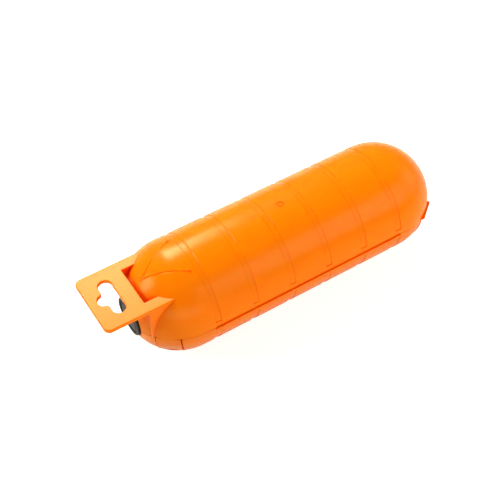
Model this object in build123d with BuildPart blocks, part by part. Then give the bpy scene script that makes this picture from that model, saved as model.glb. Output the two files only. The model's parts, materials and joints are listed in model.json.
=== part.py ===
"""Hinged two-shell capsule that keeps a plug-and-socket connection dry.

Millimetres. +Z is up and +X runs along the capsule, with the hang tab at -X.
The origin is the middle of the moulded foot, the flat strip that the capsule rests on.
The two shells meet in a level parting plane through the capsule's axis and are hinged at +Y.
"""

import os
from math import asin, atan2, cos, degrees, radians, sin, sqrt

from build123d import *

os.makedirs("parts", exist_ok=True)

# Capsule
radius = 40.4  # outside of the barrel and of both domes
dome_centre = 83.0  # from the middle of the capsule to the centre of each dome
half_length = 120.4  # where the domes are cut square
wall = 2.4
foot_width = 20.0  # flat strip underneath
parting_gap = 0.3  # between the rims of the two shells

# Shallow grooves round the barrel, the ledge along the front and the marks on the top
band_middle = 1.5
band_pitch = 30.0
band_count = 6
band_width = 5.2
band_depth = 0.45
band_slope = 0.6  # width of each sloping side
band_end_height = 4.5  # the grooves stop this far from the parting plane
ledge_length = 154.0
ledge_reach = 1.1
ledge_height = 1.5
gate_radius = 2.8
gate_depth = 0.45
gate_pip_radius = 1.2
crest_tip = 109.0  # point of the V-shaped line on the dome, from the middle of the capsule
crest_end = 79.0
crest_half_width = 15.9
crest_depth = 0.4
crest_cutter = 0.9

# Upright inner wall on the sealing line, with the cord seal in its rim
seal_straight = 60.0  # half-length of its straight sides
seal_half_width = 36.3
seal_arc_radius = 52.9  # its arcs run on from the straight sides and meet inside the collars
seal_wall_half = 2.3
cord_groove_half = 1.1
cord_groove_depth = 3.2
cord_clearance = 0.1
cord_height = 2.1
press_rib_half = 0.6
press_rib_height = 1.0

# End seals: a stepped rubber bush in two halves, held by a web in each end collar
bush_radius = 14.45
bush_inner_end = 97.3
near_bush_face = 122.3
far_bush_face = 121.2  # seated a little deeper than the near one
bush_flange = 1.3
bush_neck = 2.0  # open ring between the flange and the part that sits in the collar
bush_neck_radius = 12.8
bush_recess = 0.8  # depth of the ring sunk in the face
bush_recess_radius = 12.4
bush_boss_radius = 10.0
bush_boss_drop = 0.3
bush_waist_radius = 11.8
bush_half_gap = 0.1
cable_radius = 3.5
collar_start = 97.0
collar_end = 118.0
collar_wall = 2.3
web_start = 108.0
web_end = 110.0
bush_clearance = 0.2

# Saddle ribs that hold the connection: distance from the middle and radius of the notch
plug_rib = (62.0, 24.0)
cable_rib = (92.0, 9.0)
rib_thickness = 2.0
rib_drop = 2.5  # below the rim

# Hang tab
tab_end = 147.6
tab_half_width = 24.5
tab_top = 29.4  # above the parting plane
tab_thickness = 2.7
tab_corner = 4.5
tab_edge_round = 0.5
arm_width = 8.2
window_end = 115.4
tab_root = 88.0
cheek_end = 116.4
slot_edge = 126.2
slot_width = 9.8
slot_length = 30.0
slot_hump_radius = 4.7
slot_hump_middle = 136.9
slot_hump_fillet = 2.2

# Snap latches at the front corners
latch_bearing = 39.2  # degrees round the dome from -Y towards the end
latch_half_width = 8.65
latch_slit = 0.7
latch_radius = 39.9
latch_thickness = 2.2
latch_root_angle = 30.0  # degrees below the parting plane
latch_root_clearance = 0.08
latch_rise = 0.15  # a tongue's top is this far under the rim, because it rises as it bends
hook_half_width = 6.0
hook_inside = 34.2
hook_outside = 35.8
hook_tip = 36.8
hook_underside = 3.9
hook_top = 6.8
catch_inside = 36.1
catch_top = 3.6
catch_half_width = 6.5
lip_reach = 41.6
lip_half_width = 8.3
lip_thickness = 1.5
lip_root = 3.4

# Hinge along the back
hinge_places = (-48.0, 48.0)
hinge_offset = 44.4
knuckle_radius = 3.4
knuckle_length = 8.0
knuckle_gap = 0.3
pin_radius = 1.5
pin_running_clearance = 0.05
gusset_angle = 22.0  # where the gusset meets the shell, degrees from the parting plane

# Worked out
axis_height = sqrt(radius**2 - (foot_width / 2) ** 2)
half_gap = parting_gap / 2
upper_rim = half_gap
lower_rim = -half_gap
bush_seat = bush_radius + bush_clearance

parting = Plane.XY.offset(axis_height)
lengthwise = Plane(origin=(0, 0, axis_height), x_dir=(1, 0, 0), z_dir=(0, -1, 0))
crosswise = Plane(origin=(0, 0, axis_height), x_dir=(0, 1, 0), z_dir=(1, 0, 0))
capsule_axis = Axis((0, 0, axis_height), (1, 0, 0))
band_side_angle = degrees(atan2(band_depth, band_slope))
band_places = [band_middle + band_pitch * (i - (band_count - 1) / 2) for i in range(band_count)]


def along(side, distance):
    """The crosswise plane moved to one end: side is -1 at the hang tab and +1 at the far end."""
    return crosswise.offset(side * distance)


def latch_plane(side):
    """Upright plane through a latch: x points out of the dome and y points up."""
    bearing = radians(latch_bearing)
    outwards = Vector(side * sin(bearing), -cos(bearing), 0)
    return Plane(
        origin=(side * dome_centre, 0, axis_height),
        x_dir=outwards,
        z_dir=(outwards.Y, -outwards.X, 0),
    )


def on_circle(circle_radius, degrees_below):
    """Point of a circle about the dome's centre, so many degrees below the parting plane."""
    angle = radians(degrees_below)
    return (circle_radius * cos(angle), -circle_radius * sin(angle))


def capsule(inset):
    """Solid capsule, moved in by inset from the outside and cut square at its ends."""
    barrel = radius - inset
    end_radius = sqrt(barrel**2 - (half_length - dome_centre) ** 2)
    middle_turn = radians(45)
    on_dome = (dome_centre + barrel * cos(middle_turn), barrel * sin(middle_turn))
    with BuildPart() as solid:
        with BuildSketch(lengthwise):
            with BuildLine():
                Line((-dome_centre, barrel), (dome_centre, barrel))
                ThreePointArc((dome_centre, barrel), on_dome, (half_length, end_radius))
                Polyline(
                    (half_length, end_radius),
                    (half_length, 0),
                    (-half_length, 0),
                    (-half_length, end_radius),
                )
                ThreePointArc((-half_length, end_radius), (-on_dome[0], on_dome[1]), (-dome_centre, barrel))
            make_face()
        revolve(axis=capsule_axis)
    return solid.part


def seal_side(distance):
    """How far the sealing line is from the capsule's axis, so far from the middle."""
    beyond = max(0, distance - seal_straight)
    return seal_half_width - seal_arc_radius + sqrt(seal_arc_radius**2 - beyond**2)


def seal_outline(shift, mode=Mode.ADD):
    """The sealing line as a closed shape, moved outwards by shift."""
    side = seal_half_width + shift
    turn = seal_arc_radius + shift
    nose = seal_straight + sqrt(turn**2 - (turn - side) ** 2)
    with BuildLine() as outline:
        for edge in (-1, 1):
            Line((-seal_straight, edge * side), (seal_straight, edge * side))
            for end in (-1, 1):
                TangentArc((end * seal_straight, edge * side), (end * nose, 0), tangent=(end, 0))
    make_face(outline.edges(), mode=mode)


def seal_ring(half_width):
    """A band of even width on the sealing line."""
    seal_outline(half_width)
    seal_outline(-half_width, mode=Mode.SUBTRACT)


outside_form = capsule(0.0)
mid_wall_form = capsule(wall / 2)
inside_form = capsule(wall)

# The room for the connection, inside the sealing wall, with a level floor over the foot
with BuildPart() as connection_room:
    add(inside_form)
    with BuildSketch(parting):
        seal_outline(-seal_wall_half)
    extrude(amount=radius, both=True, mode=Mode.INTERSECT)
    split(bisect_by=Plane.XY.offset(wall), keep=Keep.TOP)

# The open pockets between the sealing wall and the domes, where the latches bend
with BuildPart() as corner_pockets:
    add(inside_form)
    with BuildSketch(parting):
        seal_outline(seal_wall_half)
    extrude(amount=radius, both=True, mode=Mode.SUBTRACT)

# The shallow grooves round the barrel
with BuildPart() as bands:
    with BuildSketch(lengthwise):
        with Locations(*[(place, radius) for place in band_places]):
            Trapezoid(band_width + 2 * band_slope, 2 * band_depth, band_side_angle, rotation=180)
    revolve(axis=capsule_axis)
    with BuildSketch(parting):
        Rectangle(2 * half_length, 3 * radius)
    extrude(amount=band_end_height, both=True, mode=Mode.SUBTRACT)

# One collar for each end seal, buried in the dome's wall at its outer end
with BuildPart() as collars:
    for side in (-1, 1):
        with BuildSketch(along(side, (collar_start + collar_end) / 2)):
            Circle(bush_seat + collar_wall)
        extrude(amount=(collar_end - collar_start) / 2, both=True)

with BuildPart() as collar_bores:
    for side in (-1, 1):
        with BuildSketch(along(side, collar_start)):
            Circle(bush_seat)
        extrude(amount=side * (half_length - collar_start + wall))

with BuildPart() as collar_webs:
    for side in (-1, 1):
        with BuildSketch(along(side, (web_start + web_end) / 2)):
            Circle(bush_seat + collar_wall / 2)
            Circle(bush_waist_radius + bush_clearance, mode=Mode.SUBTRACT)
        extrude(amount=(web_end - web_start) / 2, both=True)

# The saddle ribs, full circles that each shell takes its half of
with BuildPart() as saddle_ribs:
    for place, notch in (plug_rib, cable_rib):
        reach = sqrt((radius - wall / 2) ** 2 - max(0, place + rib_thickness / 2 - dome_centre) ** 2)
        for side in (-1, 1):
            with BuildSketch(along(side, place)):
                Circle(reach)
                Rectangle(2 * seal_side(place), 2 * radius, mode=Mode.INTERSECT)
                Circle(notch, mode=Mode.SUBTRACT)
                Rectangle(2 * radius, 2 * rib_drop, mode=Mode.SUBTRACT)
            extrude(amount=rib_thickness / 2, both=True)


def knuckle(place, width, up, hole_radius):
    """A hinge knuckle with its gusset: up is +1 on the upper shell and -1 on the lower one."""
    foot = radians(gusset_angle)
    edge = radians(30)
    with BuildPart() as solid:
        with BuildSketch(crosswise.offset(place)):
            with Locations((hinge_offset, 0)):
                Circle(knuckle_radius)
            with BuildLine():
                Polyline(
                    (radius - wall / 2, up * parting_gap),
                    (hinge_offset, up * parting_gap),
                    (hinge_offset + knuckle_radius * cos(edge), up * knuckle_radius * sin(edge)),
                    (radius * cos(foot), up * radius * sin(foot)),
                    ((radius - wall / 2) * cos(foot), up * (radius - wall / 2) * sin(foot)),
                    close=True,
                )
            make_face()
            with Locations((hinge_offset, 0)):
                Circle(hole_radius, mode=Mode.SUBTRACT)
        extrude(amount=width / 2, both=True)
    return solid.part


# Lower shell
with BuildPart() as lower_shell:
    add(outside_form)
    add(connection_room.part, mode=Mode.SUBTRACT)
    add(corner_pockets.part, mode=Mode.SUBTRACT)
    add(collars.part)
    add(collar_bores.part, mode=Mode.SUBTRACT)
    add(collar_webs.part)
    add(saddle_ribs.part)
    add(bands.part, mode=Mode.SUBTRACT)
    with BuildSketch(crosswise.offset(band_middle)):
        with BuildLine():
            Polyline(
                (-radius + wall / 2, lower_rim),
                (-radius - ledge_reach, lower_rim),
                (-radius - ledge_reach, lower_rim - ledge_height),
                (-radius, lower_rim - ledge_height - ledge_reach),
                (-radius + wall / 2, lower_rim - ledge_height - ledge_reach),
                close=True,
            )
        make_face()
    extrude(amount=ledge_length / 2, both=True)
    split(bisect_by=parting.offset(lower_rim), keep=Keep.BOTTOM)
    split(bisect_by=Plane.XY, keep=Keep.TOP)
    with BuildSketch(parting.offset(lower_rim - cord_groove_depth)):
        seal_ring(cord_groove_half)
    extrude(amount=cord_groove_depth, mode=Mode.SUBTRACT)
    for side in (-1, 1):
        root = on_circle(latch_radius - latch_thickness / 2, latch_root_angle)
        with BuildSketch(latch_plane(side)):
            with BuildLine():
                Polyline(
                    on_circle(radius - wall - 1, latch_root_angle),
                    on_circle(radius + 1, latch_root_angle),
                    on_circle(1.2 * radius, latch_root_angle / 2),
                    (radius + 2, 0),
                    (radius - wall - 2, 0),
                    on_circle(radius - wall - 2, latch_root_angle / 2),
                    close=True,
                )
            make_face()
            with Locations(root):
                Circle(latch_thickness / 2 + latch_root_clearance)
        extrude(amount=latch_half_width + latch_slit, both=True, mode=Mode.SUBTRACT)
    for place in hinge_places:
        for end in (-1, 1):
            middle = place + end * (knuckle_length + knuckle_gap)
            add(knuckle(middle, knuckle_length, -1, pin_radius))
lower_shell.part.label = "lower_shell"

# The hanging slot: a long slot with a round hump that finds the middle of the hook
with BuildSketch() as slot_outline:
    with Locations((-slot_edge - slot_width / 2, 0)):
        SlotOverall(slot_length, slot_width, rotation=90)
    with Locations((-slot_hump_middle, 0)):
        Circle(slot_hump_radius)
    inner_corners = slot_outline.vertices().filter_by_position(Axis.Y, -slot_hump_radius, slot_hump_radius)
    fillet(inner_corners, slot_hump_fillet)

# The hang tab and the cheeks under its arms, cut away inside the middle of the shell's wall
with BuildPart() as hang_tab:
    with BuildSketch(parting.offset(tab_top - tab_thickness)) as tab_outline:
        with Locations((-(tab_end + tab_root) / 2, 0)):
            Rectangle(tab_end - tab_root, 2 * tab_half_width)
        fillet(tab_outline.vertices().group_by(Axis.X)[0], tab_corner)
        with Locations((-(window_end + tab_root) / 2, 0)):
            Rectangle(window_end - tab_root, 2 * (tab_half_width - arm_width), mode=Mode.SUBTRACT)
        add(slot_outline.sketch, mode=Mode.SUBTRACT)
    extrude(amount=tab_thickness)
    fillet(hang_tab.faces().sort_by(Axis.Z)[-1].edges(), tab_edge_round)
    with BuildSketch(parting.offset(upper_rim)):
        cheek_middle = (cheek_end + tab_root) / 2
        arm_middle = tab_half_width - arm_width / 2
        with Locations((-cheek_middle, -arm_middle), (-cheek_middle, arm_middle)):
            Rectangle(cheek_end - tab_root, arm_width)
    extrude(amount=tab_top - tab_thickness - upper_rim)
    add(mid_wall_form, mode=Mode.SUBTRACT)

# The V-shaped line on the dome: two arcs that meet above the tab's window
crest_arcs = []
for side in (-1, 1):
    run = Vector(crest_tip - crest_end, side * crest_half_width, 0)
    along_run = run.normalized()
    square_to_run = Vector(-along_run.Y, along_run.X, 0)
    tip_from_centre = Vector(dome_centre - crest_tip, 0, 0)
    arc_centre = Vector(-dome_centre, 0, axis_height) + square_to_run * tip_from_centre.dot(square_to_run)
    arc_radius = sqrt(radius**2 - tip_from_centre.dot(square_to_run) ** 2)
    tip_turn = asin(tip_from_centre.dot(along_run) / arc_radius)
    end_turn = asin((tip_from_centre.dot(along_run) + run.length) / arc_radius)
    upwards = Vector(0, 0, 1)
    with BuildPart() as crest_arc:
        with BuildSketch(
            Plane(
                origin=arc_centre,
                x_dir=along_run * sin(tip_turn) + upwards * cos(tip_turn),
                z_dir=along_run * cos(tip_turn) - upwards * sin(tip_turn),
            )
        ):
            with Locations((arc_radius + crest_cutter - crest_depth, 0)):
                Circle(crest_cutter)
        revolve(axis=Axis(arc_centre, square_to_run), revolution_arc=degrees(end_turn - tip_turn))
    crest_arcs.append(crest_arc)

# The rib that presses on the cord seal, rooted in the upper shell's rim and ending in the collars
with BuildPart() as press_rib:
    with BuildSketch(parting.offset(-press_rib_height)):
        seal_ring(press_rib_half)
        Rectangle(2 * half_length, 2 * (bush_seat + press_rib_half), mode=Mode.SUBTRACT)
    extrude(amount=press_rib_height + 3 * upper_rim)

# Upper shell
with BuildPart() as upper_shell:
    add(outside_form)
    add(connection_room.part, mode=Mode.SUBTRACT)
    add(corner_pockets.part, mode=Mode.SUBTRACT)
    add(collars.part)
    add(collar_bores.part, mode=Mode.SUBTRACT)
    add(collar_webs.part)
    add(saddle_ribs.part)
    add(bands.part, mode=Mode.SUBTRACT)
    for crest_arc in crest_arcs:
        add(crest_arc.part, mode=Mode.SUBTRACT)
    split(bisect_by=parting.offset(upper_rim), keep=Keep.TOP)
    with BuildSketch(parting.offset(radius - gate_depth)):
        with Locations((band_middle, 0)):
            Circle(gate_radius)
            Circle(gate_pip_radius, mode=Mode.SUBTRACT)
    extrude(amount=2 * gate_depth, mode=Mode.SUBTRACT)
    add(hang_tab.part)
    for side in (-1, 1):
        with BuildSketch(latch_plane(side)):
            with BuildLine():
                Polyline(
                    (catch_inside, catch_top),
                    (catch_inside, upper_rim + hook_outside - hook_inside),
                    (catch_inside + catch_top / 4, upper_rim),
                    (radius - wall / 2 - half_gap, upper_rim),
                    (radius - wall / 2 - half_gap, catch_top),
                    close=True,
                )
            make_face()
        extrude(amount=catch_half_width, both=True)
    add(press_rib.part)
    for place in hinge_places:
        add(knuckle(place, knuckle_length, 1, pin_radius + pin_running_clearance))
upper_shell.part.label = "upper_shell"

# The cord seal, one strip along each side of the lower rim, ending against the bushes
cord_strips = []
for side in (-1, 1):
    with BuildPart() as strip:
        with BuildSketch(parting.offset(lower_rim - cord_groove_depth)):
            seal_ring(cord_groove_half - cord_clearance)
            with Locations((0, -side * radius)):
                Rectangle(2 * half_length, 2 * radius, mode=Mode.SUBTRACT)
        extrude(amount=cord_height)
        for end in (-1, 1):
            with BuildSketch(along(end, collar_start)):
                Circle(bush_seat)
            extrude(amount=end * (half_length - collar_start), mode=Mode.SUBTRACT)
    cord_strips.append(strip)
front_seal_strip, back_seal_strip = cord_strips
front_seal_strip.part.label = "front_seal_strip"
back_seal_strip.part.label = "back_seal_strip"


def bush_half(side, up):
    """Half of an end seal: side picks the end of the capsule, up the upper or the lower half."""
    face = far_bush_face if side > 0 else near_bush_face
    flange_back = face - bush_flange
    outline = [
        (bush_inner_end, cable_radius),
        (bush_inner_end, bush_radius),
        (web_start - bush_clearance, bush_radius),
        (web_start - bush_clearance, bush_waist_radius),
        (web_end + bush_clearance, bush_waist_radius),
        (web_end + bush_clearance, bush_radius),
        (flange_back - bush_neck, bush_radius),
        (flange_back - bush_neck, bush_neck_radius),
        (flange_back, bush_neck_radius),
        (flange_back, bush_radius),
        (face, bush_radius),
        (face, bush_recess_radius),
        (face - bush_recess, bush_recess_radius),
        (face - bush_recess, bush_boss_radius),
        (face - bush_boss_drop, bush_boss_radius),
        (face - bush_boss_drop, cable_radius),
    ]
    with BuildPart() as half:
        with BuildSketch(lengthwise):
            with BuildLine():
                Polyline(*[(side * x, y) for x, y in outline], close=True)
            make_face()
        revolve(axis=capsule_axis)
        split(bisect_by=parting.offset(up * bush_half_gap), keep=Keep.TOP if up > 0 else Keep.BOTTOM)
    return half


near_bush_lower = bush_half(-1, -1)
near_bush_upper = bush_half(-1, 1)
far_bush_lower = bush_half(1, -1)
far_bush_upper = bush_half(1, 1)
near_bush_lower.part.label = "near_bush_lower"
near_bush_upper.part.label = "near_bush_upper"
far_bush_lower.part.label = "far_bush_lower"
far_bush_upper.part.label = "far_bush_upper"


def latch_tongue(side, with_lip):
    """A snap tongue of the lower shell: it bends at its rounded root and hooks over the catch above."""
    inner_radius = latch_radius - latch_thickness
    root_radius = latch_radius - latch_thickness / 2
    top = lower_rim - latch_rise
    top_out = sqrt(latch_radius**2 - top**2)
    shoulder = -(hook_outside - hook_inside) * 2
    shoulder_out = sqrt(inner_radius**2 - (2 * shoulder) ** 2)
    with BuildPart() as tongue:
        with BuildSketch(latch_plane(side)):
            with BuildLine():
                ThreePointArc(
                    (top_out, top),
                    on_circle(latch_radius, latch_root_angle / 2),
                    on_circle(latch_radius, latch_root_angle),
                )
                Line(on_circle(latch_radius, latch_root_angle), on_circle(inner_radius, latch_root_angle))
                ThreePointArc(
                    on_circle(inner_radius, latch_root_angle),
                    on_circle(inner_radius, latch_root_angle / 2),
                    (shoulder_out, 2 * shoulder),
                )
                Polyline(
                    (shoulder_out, 2 * shoulder),
                    (hook_inside, shoulder),
                    (hook_inside, top),
                    (top_out, top),
                )
            make_face()
            with Locations(on_circle(root_radius, latch_root_angle)):
                Circle(latch_thickness / 2)
        extrude(amount=latch_half_width, both=True)
        if with_lip:
            with BuildSketch(latch_plane(side)):
                with BuildLine():
                    Polyline(
                        (root_radius, top),
                        (lip_reach, top),
                        (lip_reach, top - lip_thickness),
                        (latch_radius, -lip_root),
                        (root_radius, -lip_root),
                        close=True,
                    )
                make_face()
            extrude(amount=lip_half_width, both=True)
        with BuildSketch(latch_plane(side)):
            with BuildLine():
                Polyline(
                    (hook_inside, shoulder),
                    (hook_inside, hook_top),
                    ((hook_inside + hook_outside) / 2, hook_top),
                    (hook_tip, (hook_underside + hook_top) / 2 - half_gap),
                    (hook_tip, hook_underside),
                    (hook_outside, hook_underside),
                    (hook_outside, shoulder),
                    close=True,
                )
            make_face()
        extrude(amount=hook_half_width, both=True)
    return tongue


near_latch_tongue = latch_tongue(-1, False)
far_latch_tongue = latch_tongue(1, True)
near_latch_tongue.part.label = "near_latch_tongue"
far_latch_tongue.part.label = "far_latch_tongue"

# Hinge pins
pins = []
for place in hinge_places:
    with BuildPart() as pin:
        with BuildSketch(crosswise.offset(place)):
            with Locations((hinge_offset, 0)):
                Circle(pin_radius)
        extrude(amount=1.5 * knuckle_length + knuckle_gap, both=True)
        chamfer(pin.edges().filter_by(GeomType.CIRCLE), pin_radius / 5)
    pins.append(pin)
near_hinge_pin, far_hinge_pin = pins
near_hinge_pin.part.label = "near_hinge_pin"
far_hinge_pin.part.label = "far_hinge_pin"

for part in (
    lower_shell,
    upper_shell,
    front_seal_strip,
    back_seal_strip,
    near_bush_lower,
    near_bush_upper,
    far_bush_lower,
    far_bush_upper,
    near_latch_tongue,
    far_latch_tongue,
    near_hinge_pin,
    far_hinge_pin,
):
    export_step(part.part, f"parts/{part.part.label}.step")
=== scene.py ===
import json
from math import acos, cos, pi, radians, sin, sqrt, tan

import bmesh
import bpy
from mathutils import Matrix, Vector


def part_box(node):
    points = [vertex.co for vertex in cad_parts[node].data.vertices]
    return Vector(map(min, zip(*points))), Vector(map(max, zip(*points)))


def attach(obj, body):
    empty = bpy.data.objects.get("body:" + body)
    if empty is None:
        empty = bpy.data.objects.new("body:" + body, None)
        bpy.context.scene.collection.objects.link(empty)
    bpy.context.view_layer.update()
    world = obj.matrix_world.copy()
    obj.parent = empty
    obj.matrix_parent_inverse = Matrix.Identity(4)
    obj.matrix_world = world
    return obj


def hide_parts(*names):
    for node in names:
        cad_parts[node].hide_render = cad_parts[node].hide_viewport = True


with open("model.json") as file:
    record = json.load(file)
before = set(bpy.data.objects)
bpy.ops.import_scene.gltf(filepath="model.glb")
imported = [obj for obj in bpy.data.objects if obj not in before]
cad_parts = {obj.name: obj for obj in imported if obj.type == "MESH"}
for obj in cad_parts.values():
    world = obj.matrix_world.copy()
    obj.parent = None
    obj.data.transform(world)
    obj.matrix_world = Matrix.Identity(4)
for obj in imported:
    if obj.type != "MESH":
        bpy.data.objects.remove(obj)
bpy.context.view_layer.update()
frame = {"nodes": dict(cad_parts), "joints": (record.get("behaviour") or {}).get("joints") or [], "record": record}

MM = 0.001

# ---------------------------------------------------------------------------------------------
# Sizes, in metres: from the frame, and the part's own values for what the frame doesn't give
# ---------------------------------------------------------------------------------------------
hinge = next(joint for joint in frame["joints"] if joint["name"] == "lid_hinge")
axis_height = hinge["pos_m"][2]
barrel_inside = 38.0 * MM

half_gap_between_bushes = 0.1 * MM
near_seal_face = 122.3  # in mm, from the middle of the capsule
far_seal_face = 121.2

seal_straight = 60.0 * MM
seal_half_width = 36.3 * MM
seal_arc_radius = 52.9 * MM
cord_floor = -3.35 * MM  # from the parting plane
cord_width = 2.0 * MM
cord_height = 2.1 * MM
cord_end_gap = 0.5 * MM  # short of the strip's end, so that the cord stays within it
cord_steps = 60  # on either side of the middle

mark_places_along = (-45, -15, 15, 45)  # in mm
mark_tilts = (-32, 32)  # in degrees from the vertical
mark_radius = 2.6 * MM
mark_bead_radius = 0.2 * MM

painted_hollow_shade_reach = 40 * MM  # how far the plastic looks for its own far wall, for the painted shade in its hollows
# how near a wall must stand for the painted shade in creases and gaps, on plastic and rubber
painted_crease_shade_reach = 4 * MM

axis_middle = Vector((0, 0, axis_height))


# ---------------------------------------------------------------------------------------------
# Small helpers
# ---------------------------------------------------------------------------------------------
def new_object(name, mesh):
    """Links a mesh as an object at the origin."""
    piece = bpy.data.objects.new(name, mesh)
    bpy.context.scene.collection.objects.link(piece)
    return piece


def outward_mesh(name, builder, crease_degrees=38):
    """Finishes a bmesh: doubles merged, faces turned outwards, smooth but for the creases."""
    bmesh.ops.remove_doubles(builder, verts=builder.verts, dist=1e-7)
    bmesh.ops.recalc_face_normals(builder, faces=builder.faces)
    for face in builder.faces:
        face.smooth = True
    for edge in builder.edges:
        edge.smooth = edge.calc_face_angle(0) < radians(crease_degrees)
    mesh = bpy.data.meshes.new(name)
    builder.to_mesh(mesh)
    builder.free()
    return mesh


def softened(corners, steps=3):
    """A closed outline with its corners rounded: each corner is (x, y, rounding radius)."""
    outline = []
    for i, (x, y, rounding) in enumerate(corners):
        corner = Vector((x, y))
        back = (Vector(corners[i - 1][:2]) - corner).normalized()
        ahead = (Vector(corners[(i + 1) % len(corners)][:2]) - corner).normalized()
        half_angle = acos(max(-1, min(1, back.dot(ahead)))) / 2
        if rounding == 0 or half_angle > radians(88):
            outline.append(corner)
            continue
        centre = corner + (back + ahead).normalized() * (rounding / sin(half_angle))
        start = corner + back * (rounding / tan(half_angle)) - centre
        end = corner + ahead * (rounding / tan(half_angle)) - centre
        for step in range(steps + 1):
            share = step / steps
            outline.append(centre + (start * (1 - share) + end * share).normalized() * rounding)
    return outline


class Finish:
    """A material under construction: a Principled shader and calls for the nodes before it."""

    def __init__(self, name):
        self.material = bpy.data.materials.new(name)
        self.material.use_nodes = True
        self.tree = self.material.node_tree
        self.shader = self.tree.nodes["Principled BSDF"]
        place = self.node("ShaderNodeTexCoord")
        self.place = place.outputs["Object"]

    def node(self, kind, **settings):
        node = self.tree.nodes.new(kind)
        for key, value in settings.items():
            setattr(node, key, value)
        return node

    def link(self, source, target):
        self.tree.links.new(source, target)

    def set(self, **values):
        for key, value in values.items():
            self.shader.inputs[key.replace("_", " ")].default_value = value

    def noise(self, scale, detail=3.0, roughness=0.5, place=None):
        node = self.node("ShaderNodeTexNoise")
        node.inputs["Scale"].default_value = scale
        node.inputs["Detail"].default_value = detail
        node.inputs["Roughness"].default_value = roughness
        self.link(place or self.place, node.inputs["Vector"])
        return node.outputs["Fac"]

    def stretched(self, scale):
        node = self.node("ShaderNodeMapping")
        node.inputs["Scale"].default_value = scale
        self.link(self.place, node.inputs["Vector"])
        return node.outputs["Vector"]

    def spread(self, value, low, high, to_low=0.0, to_high=1.0):
        node = self.node("ShaderNodeMapRange")
        limits = {"From Min": low, "From Max": high, "To Min": to_low, "To Max": to_high}
        for socket, number in limits.items():
            node.inputs[socket].default_value = number
        self.link(value, node.inputs["Value"])
        return node.outputs["Result"]

    def blend(self, factor, first, second):
        node = self.node("ShaderNodeMix", data_type="RGBA")
        self.link(factor, node.inputs["Factor"])
        for socket, value in (("A", first), ("B", second)):
            target = next(i for i in node.inputs if i.name == socket and i.type == "RGBA")
            if isinstance(value, tuple):
                target.default_value = value
            else:
                self.link(value, target)
        return next(o for o in node.outputs if o.type == "RGBA")

    def openness(self, reach, own=False):
        """1 where nothing stands within reach, less in gaps; own looks at the piece alone."""
        node = self.node("ShaderNodeAmbientOcclusion", samples=8, only_local=own)
        node.inputs["Distance"].default_value = reach
        return node.outputs["AO"]

    def bump(self, layers):
        """Bumps laid over each other: (height, depth in metres) of each."""
        normal = None
        for height, depth in layers:
            node = self.node("ShaderNodeBump")
            node.inputs["Distance"].default_value = depth
            node.inputs["Strength"].default_value = 1.0
            self.link(height, node.inputs["Height"])
            if normal is not None:
                self.link(normal, node.inputs["Normal"])
            normal = node.outputs["Normal"]
        self.link(normal, self.shader.inputs["Normal"])


# ---------------------------------------------------------------------------------------------
# Finishes
# ---------------------------------------------------------------------------------------------
def orange_polypropylene(name, scattering):
    """Satin moulded plastic, slightly see-through in the red, with painted shade: a deeper red painted into its
    corners and creases.
    """
    finish = Finish(name)
    flow = finish.noise(14.0, detail=2.0, place=finish.stretched((0.35, 1.0, 1.0)))
    mottle = finish.noise(420.0, detail=4.0, roughness=0.6)
    tone = finish.blend(
        finish.spread(flow, 0.3, 0.7),
        (1.0, 0.2, 0.0, 1.0),
        (1.0, 0.22, 0.0, 1.0),
    )
    tone = finish.blend(finish.spread(mottle, 0.35, 0.75, 0.0, 0.5), tone, (1.0, 0.185, 0.0, 1.0))
    painted_hollow_shade, painted_crease_shade = finish.openness(painted_hollow_shade_reach, own=True), finish.openness(painted_crease_shade_reach)
    # painted shade: a deep red painted where the shell's own walls stand near, in its hollows and under the tab
    tone = finish.blend(finish.spread(painted_hollow_shade, 0.3, 0.8, 1.0, 0.0), tone, (1.0, 0.02, 0.0, 1.0))
    # painted shade: a darker red painted into grooves, creases and the gap between the shells
    tone = finish.blend(finish.spread(painted_crease_shade, 0.5, 0.99, 1.0, 0.0), tone, (1.0, 0.085, 0.0, 1.0))
    finish.link(tone, finish.shader.inputs["Base Color"])
    finish.link(finish.spread(mottle, 0.3, 0.7, 0.22, 0.25), finish.shader.inputs["Roughness"])
    finish.set(Specular_Tint=(1.0, 0.8, 0.5, 1.0), Specular_IOR_Level=0.16)
    finish.set(Subsurface_Weight=scattering, Subsurface_Scale=0.004)
    finish.set(Subsurface_Radius=(1.0, 0.15, 0.03))
    grain = finish.noise(2600.0, detail=2.0)
    sinks = finish.noise(22.0, detail=1.0)
    finish.bump([(sinks, 0.00025), (grain, 0.000008)])
    return finish.material


def black_rubber(name, dark, pale, grain_depth):
    """Matt moulded rubber with a fine dusty grain, and painted shade: near black painted into its creases."""
    finish = Finish(name)
    grain = finish.noise(900.0, detail=5.0, roughness=0.65)
    cloud = finish.noise(120.0, detail=3.0)
    tone = finish.blend(finish.spread(grain, 0.35, 0.75), dark, pale)
    tone = finish.blend(finish.spread(cloud, 0.45, 0.75, 0.0, 0.6), tone, dark)
    painted_crease_shade = finish.openness(painted_crease_shade_reach)
    # painted shade: near black painted into the rubber's creases and gaps
    tone = finish.blend(
        finish.spread(painted_crease_shade, 0.45, 0.95, 1.0, 0.0), tone, (0.002, 0.001, 0.001, 1.0)
    )
    finish.link(tone, finish.shader.inputs["Base Color"])
    finish.link(finish.spread(grain, 0.3, 0.7, 0.5, 0.68), finish.shader.inputs["Roughness"])
    finish.set(Specular_IOR_Level=0.3)
    finish.bump([(grain, grain_depth)])
    return finish.material


def drawn_steel():
    """Bright drawn wire with fine lines along its length."""
    finish = Finish("drawn_steel")
    lines = finish.noise(2200.0, detail=3.0, place=finish.stretched((0.02, 1.0, 1.0)))
    tone = finish.blend(
        finish.spread(lines, 0.3, 0.7), (0.48, 0.48, 0.5, 1.0), (0.64, 0.64, 0.65, 1.0)
    )
    finish.link(tone, finish.shader.inputs["Base Color"])
    finish.link(finish.spread(lines, 0.3, 0.7, 0.22, 0.38), finish.shader.inputs["Roughness"])
    finish.set(Metallic=1.0)
    finish.bump([(lines, 0.00001)])
    return finish.material


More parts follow.
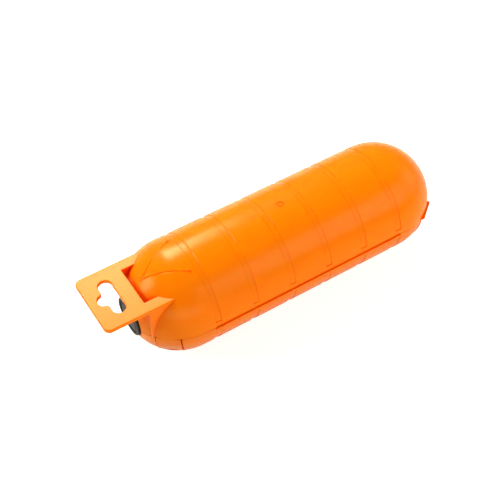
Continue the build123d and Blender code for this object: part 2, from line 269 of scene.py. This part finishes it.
finishes = {
    "shell_plastic": orange_polypropylene("orange_polypropylene", 0.5),
    "bush_rubber": black_rubber(
        "bush_rubber", (0.034, 0.027, 0.036, 1.0), (0.08, 0.064, 0.085, 1.0), 0.00004
    ),
    "seal_rubber": black_rubber(
        "seal_rubber", (0.02, 0.02, 0.022, 1.0), (0.05, 0.05, 0.052, 1.0), 0.00002
    ),
    "pin_steel": drawn_steel(),
}
for subpart in frame["record"]["subparts"]:
    node = frame["nodes"][subpart["node"]]
    for material_slot in node.material_slots:
        material_slot.material = finishes[subpart["material_slot"]]


# ---------------------------------------------------------------------------------------------
# End seals: rubber bushes in two halves, with soft edges, a lip round the face and a cable bore
# ---------------------------------------------------------------------------------------------
def bush_outline(face):
    """Half section of a bush, with its corners rounded."""
    corners = [  # distance along the axis, distance from it and rounding, in mm
        (97.3, 14.1, 0.6),
        (107.8, 14.1, 0.3),
        (107.8, 11.8, 0.3),
        (110.2, 11.8, 0.3),
        (110.2, 14.3, 0.3),
        (face - 3.35, 14.3, 0.3),
        (face - 3.25, 12.7, 0.3),
        (face - 1.35, 12.7, 0.3),
        (face - 1.25, 14.45, 0.35),
        (face, 14.4, 0.45),
        (face - 0.05, 12.5, 0.3),
        (face - 0.95, 12.3, 0.3),
        (face - 0.95, 10.2, 0.3),
        (face - 0.35, 10.0, 0.3),
        (face - 0.3, 5.4, 0.6),
        (face - 1.9, 3.9, 0.4),
        (face - 2.3, 3.9, 0.3),
        (face - 3.1, 3.55, 0.2),
        (face - 3.9, 3.9, 0.3),
        (100.4, 3.9, 0.3),
        (99.6, 3.55, 0.2),
        (98.8, 3.9, 0.3),
        (97.3, 4.6, 0.4),
    ]
    return softened([(x * MM, y * MM, rounding * MM) for x, y, rounding in corners])


def bush_half(name, side, up, face, segments=72):
    """Turns the half section through the half circle that one shell holds."""
    builder = bmesh.new()
    outline = bush_outline(face)
    rings = []
    for step in range(segments + 1):
        angle = pi * step / segments
        ring = []
        for along, out in outline:
            height = out * sin(angle)
            ring.append(
                builder.verts.new(
                    (
                        side * along,
                        out * cos(angle),
                        axis_height + up * max(half_gap_between_bushes, height),
                    )
                )
            )
        rings.append(ring)
    count = len(outline)
    for ring, next_ring in zip(rings, rings[1:]):
        for i in range(count):
            j = (i + 1) % count
            builder.faces.new((ring[i], ring[j], next_ring[j], next_ring[i]))
    builder.faces.new(rings[0])
    builder.faces.new(rings[-1])
    piece = new_object(name, outward_mesh(name, builder))
    piece.data.materials.append(finishes["bush_rubber"])
    return piece


for end, side, face in (("near", -1, near_seal_face), ("far", 1, far_seal_face)):
    for level, up, body in (("lower", -1, "base"), ("upper", 1, "lid")):
        seal = bush_half(f"{end}_end_seal_{level}", side, up, face)
        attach(seal, body)
        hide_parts(f"{end}_bush_{level}")


# ---------------------------------------------------------------------------------------------
# Geometry Nodes trees
# ---------------------------------------------------------------------------------------------
class Tree:
    """A geometry tree under construction, with named inputs for its sizes."""

    def __init__(self, name, **inputs):
        self.group = bpy.data.node_groups.new(name, "GeometryNodeTree")
        self.new_socket("Geometry", "INPUT", "NodeSocketGeometry")
        self.sockets = {}
        for label, value in inputs.items():
            kind = "NodeSocketInt" if isinstance(value, int) else "NodeSocketFloat"
            if isinstance(value, bpy.types.Material):
                kind = "NodeSocketMaterial"
            socket = self.new_socket(label, "INPUT", kind)
            self.sockets[label] = (socket.identifier, value)
        self.new_socket("Geometry", "OUTPUT", "NodeSocketGeometry")
        self.given = self.group.nodes.new("NodeGroupInput").outputs
        self.result = self.group.nodes.new("NodeGroupOutput").inputs["Geometry"]

    def new_socket(self, label, direction, kind):
        return self.group.interface.new_socket(label, in_out=direction, socket_type=kind)

    def node(self, kind, settings=None, **sources):
        """Adds a node; each named input takes a value or the output of another node."""
        node = self.group.nodes.new(kind)
        for key, value in (settings or {}).items():
            setattr(node, key, value)
        for label, source in sources.items():
            target = node.inputs[label.replace("_", " ")]
            if isinstance(source, bpy.types.NodeSocket):
                self.group.links.new(source, target)
            else:
                target.default_value = source
        return node.outputs

    def circle(self, sides, radius):
        circle = self.node("GeometryNodeCurvePrimitiveCircle", Resolution=sides, Radius=radius)
        return circle["Curve"]

    def swept(self, path, profile, capped=False):
        """A smooth tube with the profile's section along the path."""
        tube = self.node(
            "GeometryNodeCurveToMesh", Curve=path, Profile_Curve=profile, Fill_Caps=capped
        )["Mesh"]
        return self.node("GeometryNodeSetShadeSmooth", Geometry=tube)["Geometry"]

    def finish(self, geometry, material):
        """Ends the tree with real geometry in the given material."""
        real = self.node("GeometryNodeRealizeInstances", Geometry=geometry)["Geometry"]
        done = self.node("GeometryNodeSetMaterial", Geometry=real, Material=material)["Geometry"]
        self.group.links.new(done, self.result)

    def bake(self, name, guide):
        """Runs the tree on a guide mesh and gives the result as a plain object at the origin."""
        carrier = new_object(name + "_guide", guide)
        modifier = carrier.modifiers.new("build", "NODES")
        modifier.node_group = self.group
        for identifier, value in self.sockets.values():
            modifier[identifier] = value
        evaluated = carrier.evaluated_get(bpy.context.evaluated_depsgraph_get())
        baked = bpy.data.meshes.new_from_object(evaluated)
        baked.name = name
        carrier.modifiers.remove(modifier)
        bpy.data.objects.remove(carrier)
        return new_object(name, baked)


# ---------------------------------------------------------------------------------------------
# Cord seal in the lower rim: a round rubber cord along the sealing line, on each side
# ---------------------------------------------------------------------------------------------
def seal_side(along):
    beyond = max(0, abs(along) - seal_straight)
    return seal_half_width - seal_arc_radius + sqrt(seal_arc_radius**2 - beyond**2)


def cord_tree():
    tree = Tree(
        "cord_seal",
        Width=cord_width,
        Height=cord_height,
        Sides=16,
        Rubber=finishes["seal_rubber"],
    )
    given = tree.given
    path = tree.node("GeometryNodeMeshToCurve", Mesh=given["Geometry"])["Curve"]
    size = tree.node("ShaderNodeCombineXYZ", X=given["Width"], Y=given["Height"], Z=1.0)["Vector"]
    ring = tree.circle(given["Sides"], 0.5)
    profile = tree.node("GeometryNodeTransform", Geometry=ring, Scale=size)["Geometry"]
    tree.finish(tree.swept(path, profile, capped=True), given["Rubber"])
    return tree


cords = cord_tree()
for strip, across in (("front_seal_strip", -1), ("back_seal_strip", 1)):
    reach = min(-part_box(strip)[0].x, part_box(strip)[1].x) - cord_end_gap
    places = [reach * i / cord_steps for i in range(-cord_steps, cord_steps + 1)]
    cord_level = axis_height + cord_floor + cord_height / 2
    line = [(x, across * seal_side(x), cord_level) for x in places]
    guide = bpy.data.meshes.new(strip + "_line")
    guide.from_pydata(line, [(i, i + 1) for i in range(len(line) - 1)], [])
    cord = cords.bake(strip.replace("strip", "cord"), guide)
    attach(cord, "base")
    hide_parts(strip)


# ---------------------------------------------------------------------------------------------
# Ejector marks: fine raised circles that the mould's pins leave inside each shell
# ---------------------------------------------------------------------------------------------
def ejector_tree():
    tree = Tree(
        "ejector_marks",
        Ring_Radius=mark_radius,
        Bead_Radius=mark_bead_radius,
        Plastic=orange_polypropylene("thin_orange_polypropylene", 0.0),
    )
    given = tree.given
    ring = tree.swept(tree.circle(32, given["Ring_Radius"]), tree.circle(8, given["Bead_Radius"]))
    inwards = tree.node(
        "GeometryNodeInputNamedAttribute", {"data_type": "FLOAT_VECTOR"}, Name="inwards"
    )["Attribute"]
    turn = tree.node("FunctionNodeAlignRotationToVector", {"axis": "Z"}, Vector=inwards)["Rotation"]
    placed = tree.node(
        "GeometryNodeInstanceOnPoints", Points=given["Geometry"], Instance=ring, Rotation=turn
    )["Instances"]
    tree.finish(placed, given["Plastic"])
    return tree


def mark_places(name, up):
    """One point where each pin pressed, with the direction into the shell."""
    middles, directions = [], []
    for along in mark_places_along:
        for tilt in mark_tilts:
            inwards = Vector((0, -sin(radians(tilt)), -up * cos(radians(tilt))))
            middles.append(Vector((along * MM, 0, axis_height)) - inwards * barrel_inside)
            directions.append(inwards)
    mesh = bpy.data.meshes.new(name)
    mesh.from_pydata(middles, [], [])
    attribute = mesh.attributes.new("inwards", "FLOAT_VECTOR", "POINT")
    for place, inwards in zip(attribute.data, directions):
        place.vector = inwards
    return mesh


ejectors = ejector_tree()
for level, up, body in (("lower", -1, "base"), ("upper", 1, "lid")):
    marks = ejectors.bake(f"{level}_ejector_marks", mark_places(f"{level}_mark_places", up))
    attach(marks, body)


# ---------------------------------------------------------------------------------------------
# Floor, light and camera
# ---------------------------------------------------------------------------------------------
def strength_by_ray(tree, light, seen, mirrored):
    """A strength for all rays, with more where the camera or a mirror looks straight at it."""
    rays = tree.nodes.new("ShaderNodeLightPath")
    mirrors = tree.nodes.new("ShaderNodeMath")
    mirrors.operation = "MAXIMUM"
    tree.links.new(rays.outputs["Is Glossy Ray"], mirrors.inputs[0])
    tree.links.new(rays.outputs["Is Transmission Ray"], mirrors.inputs[1])
    total = tree.nodes.new("ShaderNodeValue").outputs[0]
    total.default_value = light
    for amount, ray in ((seen, rays.outputs["Is Camera Ray"]), (mirrored, mirrors.outputs[0])):
        step = tree.nodes.new("ShaderNodeMath")
        step.operation = "MULTIPLY_ADD"
        tree.links.new(ray, step.inputs[0])
        step.inputs[1].default_value = amount
        tree.links.new(total, step.inputs[2])
        total = step.outputs[0]
    return total


def pale_floor(half_width=15.0, seen=0.75, mirrored=0.3):
    builder = bmesh.new()
    bmesh.ops.create_grid(builder, x_segments=1, y_segments=1, size=half_width)
    floor = new_object("floor", outward_mesh("floor", builder))
    finish = Finish("floor_paper")
    finish.set(Base_Color=(0.6, 0.6, 0.6, 1.0), Roughness=0.9, Specular_IOR_Level=0.1)
    lift = finish.node("ShaderNodeEmission")
    lift.inputs["Color"].default_value = (1.0, 1.0, 1.0, 1.0)
    finish.link(strength_by_ray(finish.tree, 0.0, seen, mirrored), lift.inputs["Strength"])
    total = finish.node("ShaderNodeAddShader")
    finish.link(finish.shader.outputs["BSDF"], total.inputs[0])
    finish.link(lift.outputs["Emission"], total.inputs[1])
    output = finish.tree.nodes["Material Output"]
    finish.link(total.outputs["Shader"], output.inputs["Surface"])
    floor.data.materials.append(finish.material)


def softbox(name, direction, distance, width, height, radiance, tint):
    """A rectangular lamp that faces the middle of the capsule, with an even radiance."""
    lamp = bpy.data.lights.new(name, "AREA")
    lamp.shape = "RECTANGLE"
    lamp.size = width
    lamp.size_y = height
    lamp.color = tint
    lamp.energy = radiance * pi * width * height
    fitting = bpy.data.objects.new(name, lamp)
    bpy.context.scene.collection.objects.link(fitting)
    towards_lamp = Vector(direction).normalized()
    fitting.location = axis_middle + towards_lamp * distance
    fitting.rotation_euler = towards_lamp.to_track_quat("Z", "Y").to_euler()


def even_world(light=0.12, seen=0.8, mirrored=0.1):
    world = bpy.data.worlds.new("studio")
    bpy.context.scene.world = world
    world.use_nodes = True
    background = world.node_tree.nodes["Background"]
    background.inputs["Color"].default_value = (1.0, 1.0, 1.0, 1.0)
    strength = strength_by_ray(world.node_tree, light, seen, mirrored)
    world.node_tree.links.new(strength, background.inputs["Strength"])


def long_lens_camera():
    """Looks down from the front, on the hang tab's side; the target is the middle of the frame."""
    location = Vector((-0.27754, -0.43435, 0.65555))
    target = Vector((-0.01967, 0.00741, 0.03623))
    roll = radians(-1.916)
    camera = bpy.data.cameras.new("camera")
    camera.lens = 80.34
    camera.sensor_width = 36.0
    camera.clip_start = 0.01
    camera.clip_end = 20.0
    body = bpy.data.objects.new("camera", camera)
    bpy.context.scene.collection.objects.link(body)
    turn = (location - target).to_track_quat("Z", "Y").to_matrix().to_4x4()
    body.matrix_world = Matrix.Translation(location) @ turn @ Matrix.Rotation(roll, 4, "Z")
    bpy.context.scene.camera = body


pale_floor()
even_world()
warm, cool = (1.0, 0.9, 0.75), (0.88, 1.0, 0.7)
for lamp in (  # name, direction from the capsule, distance, width, height, radiance, tint
    ("back_window", (0.08, 0.67, 0.69), 0.95, 0.24, 0.38, 36.0, cool),
    ("front_window", (0.48, -0.77, 0.5), 0.75, 0.48, 0.41, 4.4, warm),
    ("left_window", (-0.8, 0.31, 0.5), 0.9, 0.24, 0.32, 18.0, cool),
    ("right_window", (0.9, -0.3, 0.35), 0.9, 0.5, 0.5, 2.3, warm),
    ("low_front", (-0.35, -0.92, 0.1), 1.3, 1.6, 0.6, 3.1, warm),
):
    softbox(*lamp)
long_lens_camera()
bpy.context.scene.view_settings.view_transform = "Standard"
